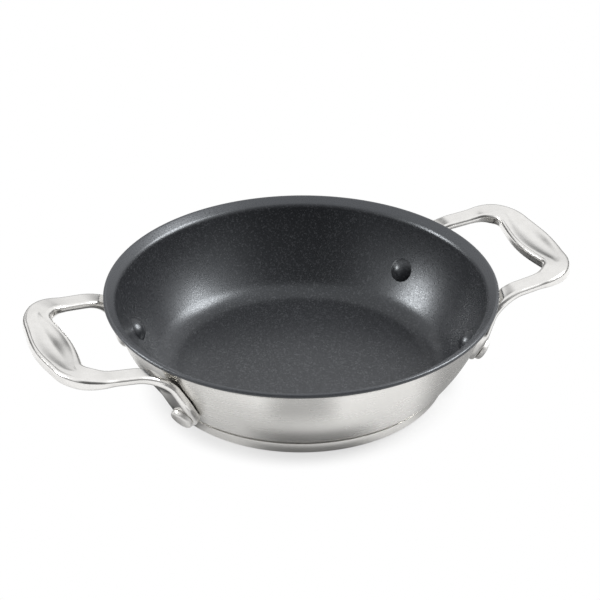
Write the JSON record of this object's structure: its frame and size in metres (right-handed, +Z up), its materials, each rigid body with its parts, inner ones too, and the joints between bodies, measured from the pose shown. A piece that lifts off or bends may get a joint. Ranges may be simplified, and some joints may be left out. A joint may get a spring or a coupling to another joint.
{
  "type": "frying pan",
  "caption": "Small round frying pan with a flared rim, a dark non-stick lining, a sandwich base and riveted steel loop handles on opposite sides.",
  "frame": {"origin": "centre of the flat underside of the base, on the surface that the pan stands on", "axes": "+Z up through the middle of the pan; +X through the middle of the right handle's grip; +Y towards the rear rivets"},
  "size_m": [0.2342, 0.165, 0.0448],
  "materials": {
    "satin_steel": "satin stainless steel, lightly lapped",
    "polished_steel": "polished cast stainless steel",
    "nonstick": "semi-gloss dark grey fluoropolymer coating with a fine fleck",
    "aluminium_core": "bare aluminium, sealed inside the base"
  },
  "bodies": {
    "root": {"pan_body": "satin_steel", "nonstick_lining": "nonstick", "heat_disc": "aluminium_core", "base_cap": "satin_steel", "right_handle": "polished_steel", "left_handle": "polished_steel", "right_rear_rivet": "polished_steel", "right_front_rivet": "polished_steel", "left_rear_rivet": "polished_steel", "left_front_rivet": "polished_steel", "rivet_linings": "nonstick"}
  },
  "joints": []
}
